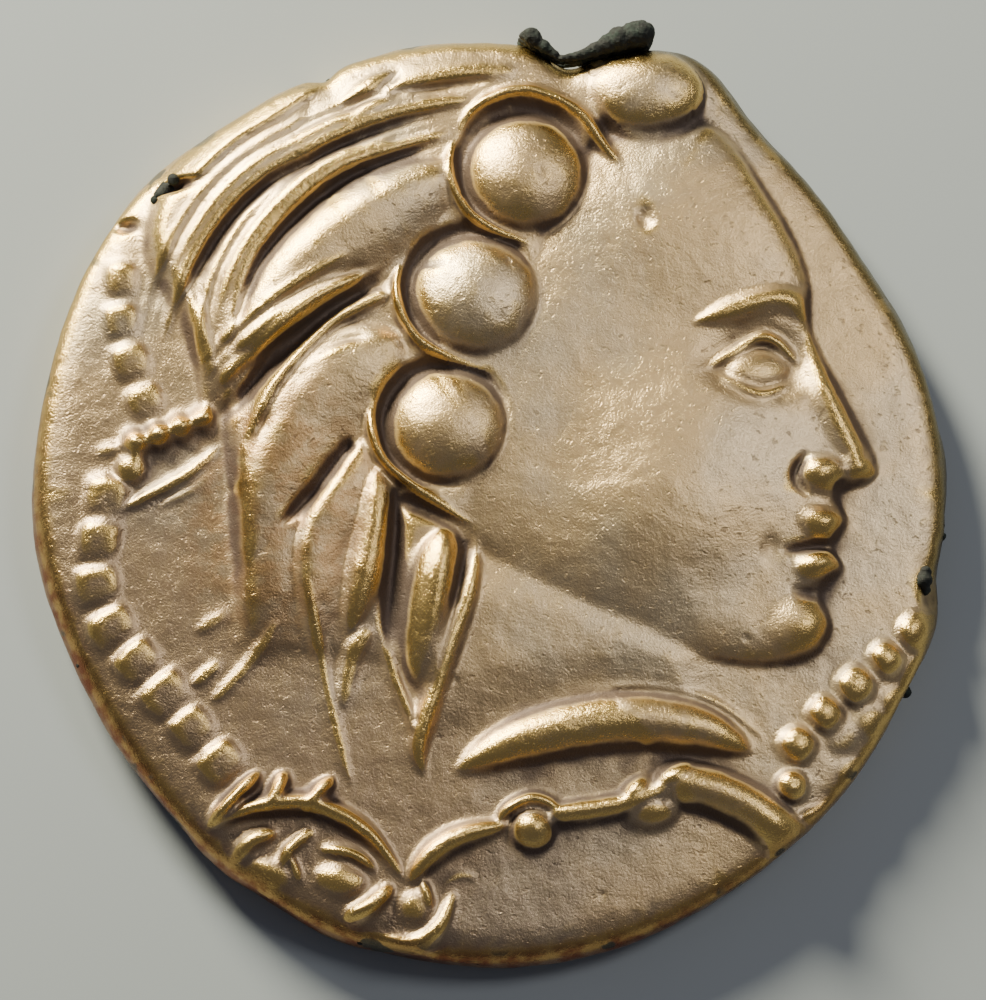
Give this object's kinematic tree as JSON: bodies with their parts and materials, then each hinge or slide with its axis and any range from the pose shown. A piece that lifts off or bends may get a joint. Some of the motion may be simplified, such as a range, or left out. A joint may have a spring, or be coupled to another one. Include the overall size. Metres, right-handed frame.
{
  "type": "gold coin",
  "caption": "Hammered gold stater in the Gaulish style: head facing right with long locks and round curls between strings of beads, plain striding horse on the hollow reverse",
  "frame": {"origin": "under the middle of the coin's outline, in the plane of the ring that it lies on", "axes": "+Z out of the obverse, +Y towards the crown of the head, +X the way the head looks"},
  "size_m": [0.0209, 0.0219, 0.0024],
  "materials": {
    "gold": "worn struck gold alloy, fine-grained, with brown tarnish in the hollows"
  },
  "bodies": {
    "root": {"coin": "gold"}
  },
  "joints": []
}
